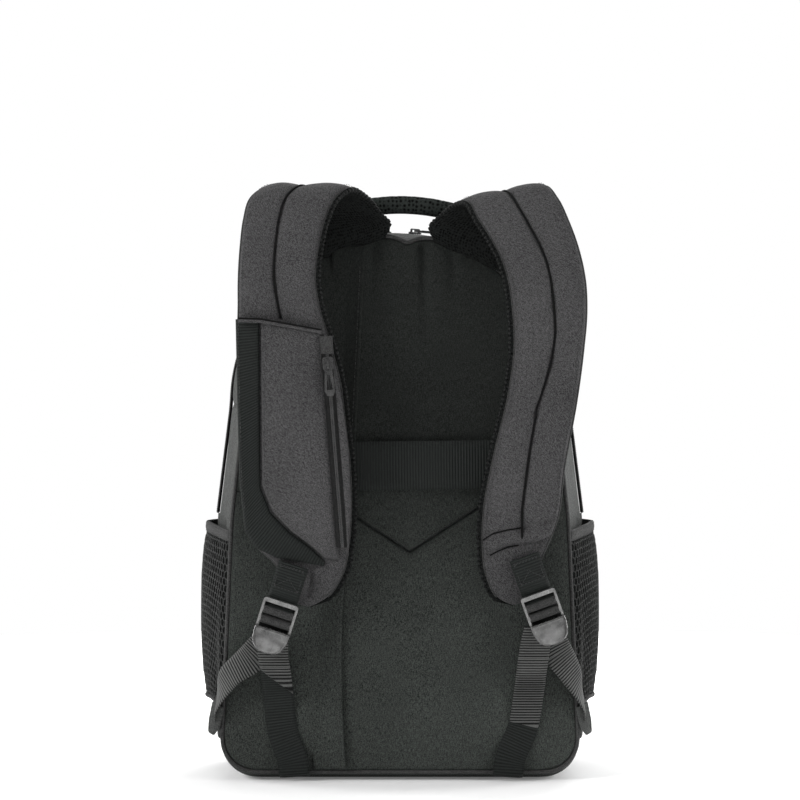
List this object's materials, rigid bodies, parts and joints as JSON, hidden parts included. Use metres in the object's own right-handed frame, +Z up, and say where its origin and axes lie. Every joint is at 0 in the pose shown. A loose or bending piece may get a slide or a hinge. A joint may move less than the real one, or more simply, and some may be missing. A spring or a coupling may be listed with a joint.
{
  "type": "school backpack",
  "caption": "School backpack with a round-topped zipped bag, padded shoulder straps with ladder-lock adjusters, mesh bottle pockets, luggage band and grab handle.",
  "frame": {"origin": "centre of the whole backpack's footprint, on the floor it stands on", "axes": "+Z up, -Y towards the wearer's back (straps and back panel), +Y to the front pockets, +X to the right of someone facing the straps"},
  "size_m": [0.3378, 0.2504, 0.4944],
  "materials": {
    "body_fabric": "woven, matt",
    "side_fabric": "woven, matt",
    "strap_fabric": "woven melange",
    "air_mesh": "spacer mesh",
    "pocket_mesh": "open mesh",
    "binding": "folded tape",
    "webbing": "ribbed webbing",
    "zipper_tape": "knitted tape with coil",
    "zipper_metal": "dark satin",
    "zipper_pull": "dark satin",
    "buckle_plastic": "moulded gloss",
    "lining": "padded lining"
  },
  "bodies": {
    "bag": {"upper_back_panel": "body_fabric", "lower_back_panel": "body_fabric", "back_foam_board": "lining", "back_piping": "binding", "back_zip_placket": "body_fabric", "back_zip_tapes": "zipper_tape", "luggage_band": "webbing", "top_gusset": "body_fabric", "left_side_panel": "side_fabric", "right_side_panel": "side_fabric", "base_panel": "body_fabric", "lower_front_panel": "body_fabric", "main_zip_rear_tape": "zipper_tape", "laptop_divider": "lining", "laptop_strap": "webbing", "handle_feet": "webbing", "front_pocket_rim": "body_fabric", "front_zip_rear_tape": "zipper_tape", "left_bottle_pocket": "pocket_mesh", "right_bottle_pocket": "pocket_mesh", "left_pocket_binding": "binding", "right_pocket_binding": "binding", "left_anchor_tab": "body_fabric", "right_anchor_tab": "body_fabric", "left_load_webbing": "webbing", "right_load_webbing": "webbing", "left_tail_webbing": "webbing", "right_tail_webbing": "webbing"},
    "front_flap": {"front_panel": "body_fabric", "main_zip_front_tape": "zipper_tape", "slit_pocket_facing": "body_fabric", "slit_zip_tapes": "zipper_tape"},
    "front_pocket_lid": {"front_pocket_face": "body_fabric", "front_zip_face_tape": "zipper_tape"},
    "left_strap": {"left_strap_cover": "strap_fabric", "left_strap_lining": "air_mesh", "left_buckle_loop": "webbing", "strap_pocket": "strap_fabric", "strap_pocket_zip_tapes": "zipper_tape", "strap_edge_webbing": "webbing"},
    "right_strap": {"right_strap_cover": "strap_fabric", "right_strap_lining": "air_mesh", "right_buckle_loop": "webbing"},
    "left_adjuster": {"left_buckle": "buckle_plastic"},
    "right_adjuster": {"right_buckle": "buckle_plastic"},
    "handle": {"grab_handle": "air_mesh"},
    "main_slider_left": {"main_zip_left_slider": "zipper_metal"},
    "main_slider_right": {"main_zip_right_slider": "zipper_metal"},
    "main_pull_left": {"main_zip_left_pull": "zipper_pull"},
    "main_pull_right": {"main_zip_right_pull": "zipper_pull"},
    "front_slider": {"front_zip_slider": "zipper_metal"},
    "front_pull": {"front_zip_pull": "zipper_pull"},
    "slit_slider": {"slit_zip_slider": "zipper_metal"},
    "slit_pull": {"slit_zip_pull": "zipper_pull"},
    "strap_slider": {"strap_zip_slider": "zipper_metal"},
    "strap_pull": {"strap_zip_pull": "zipper_pull"},
    "back_slider": {"back_zip_slider": "zipper_metal", "back_zip_pull": "zipper_pull"}
  },
  "joints": [
    {"name": "front_flap_fold", "type": "hinge", "parent": "bag", "child": "front_flap", "pos_m": [0, 0.08922, 0.219], "axis": [-1, 0, 0], "range_deg": [0, 65]},
    {"name": "front_pocket_fold", "type": "hinge", "parent": "bag", "child": "front_pocket_lid", "pos_m": [0, 0.12522, 0.026], "axis": [-1, 0, 0], "range_deg": [0, 75]},
    {"name": "handle_swing", "type": "hinge", "parent": "bag", "child": "handle", "pos_m": [0, -0.04078, 0.45], "axis": [-1, 0, 0], "range_deg": [0, 60]},
    {"name": "left_strap_swing", "type": "hinge", "parent": "bag", "child": "left_strap", "pos_m": [0, -0.05678, 0.446], "axis": [-1, 0, 0], "range_deg": [0, 12], "deforming": ["left_load_webbing", "left_tail_webbing"]},
    {"name": "left_adjuster_tilt", "type": "hinge", "parent": "left_strap", "child": "left_adjuster", "pos_m": [-0.09673, -0.09226, 0.1491], "axis": [-0.9511, 0, 0.309], "range_deg": [0, 25]},
    {"name": "main_slider_left_travel", "type": "hinge", "parent": "bag", "child": "main_slider_left", "pos_m": [0, 0.02422, 0.312], "axis": [0, -1, 0], "range_deg": [0, 78]},
    {"name": "main_pull_left_swing", "type": "hinge", "parent": "main_slider_left", "child": "main_pull_left", "pos_m": [-0.01296, 0.02422, 0.46018], "axis": [0, 1, 0], "range_deg": [0, 120]},
    {"name": "right_strap_swing", "type": "hinge", "parent": "bag", "child": "right_strap", "pos_m": [0, -0.05678, 0.446], "axis": [-1, 0, 0], "range_deg": [0, 12], "deforming": ["right_load_webbing", "right_tail_webbing"]},
    {"name": "right_adjuster_tilt", "type": "hinge", "parent": "right_strap", "child": "right_adjuster", "pos_m": [0.11233, -0.09226, 0.15596], "axis": [-0.9397, 0, -0.342], "range_deg": [0, 25]},
    {"name": "main_slider_right_travel", "type": "hinge", "parent": "bag", "child": "main_slider_right", "pos_m": [0, 0.02422, 0.312], "axis": [0, 1, 0], "range_deg": [0, 78]},
    {"name": "main_pull_right_swing", "type": "hinge", "parent": "main_slider_right", "child": "main_pull_right", "pos_m": [0.01296, 0.02422, 0.46018], "axis": [0, -1, 0], "range_deg": [0, 120]},
    {"name": "front_slider_travel", "type": "slide", "parent": "bag", "child": "front_slider", "axis": [1, 0, 0], "range_m": [0, 0.14]},
    {"name": "front_pull_swing", "type": "hinge", "parent": "front_slider", "child": "front_pull", "pos_m": [-0.07, 0.10922, 0.20685], "axis": [0, -1, 0], "range_deg": [0, 150]},
    {"name": "slit_slider_travel", "type": "slide", "parent": "front_flap", "child": "slit_slider", "axis": [1, 0, 0], "range_m": [0, 0.14]},
    {"name": "slit_pull_swing", "type": "hinge", "parent": "slit_slider", "child": "slit_pull", "pos_m": [-0.07, 0.09607, 0.33], "axis": [0, 0, 1], "range_deg": [0, 150]},
    {"name": "strap_slider_travel", "type": "slide", "parent": "left_strap", "child": "strap_slider", "axis": [0.075, 0.1284, -0.9889], "range_m": [0, 0.138]},
    {"name": "strap_pull_swing", "type": "hinge", "parent": "strap_slider", "child": "strap_pull", "pos_m": [-0.058, -0.12293, 0.34407], "axis": [-0.9972, 0.0097, -0.0744], "range_deg": [0, 150]},
    {"name": "back_slider_travel", "type": "slide", "parent": "bag", "child": "back_slider", "axis": [-0.0471, 0, -0.9989], "range_m": [0, 0.252]}
  ]
}
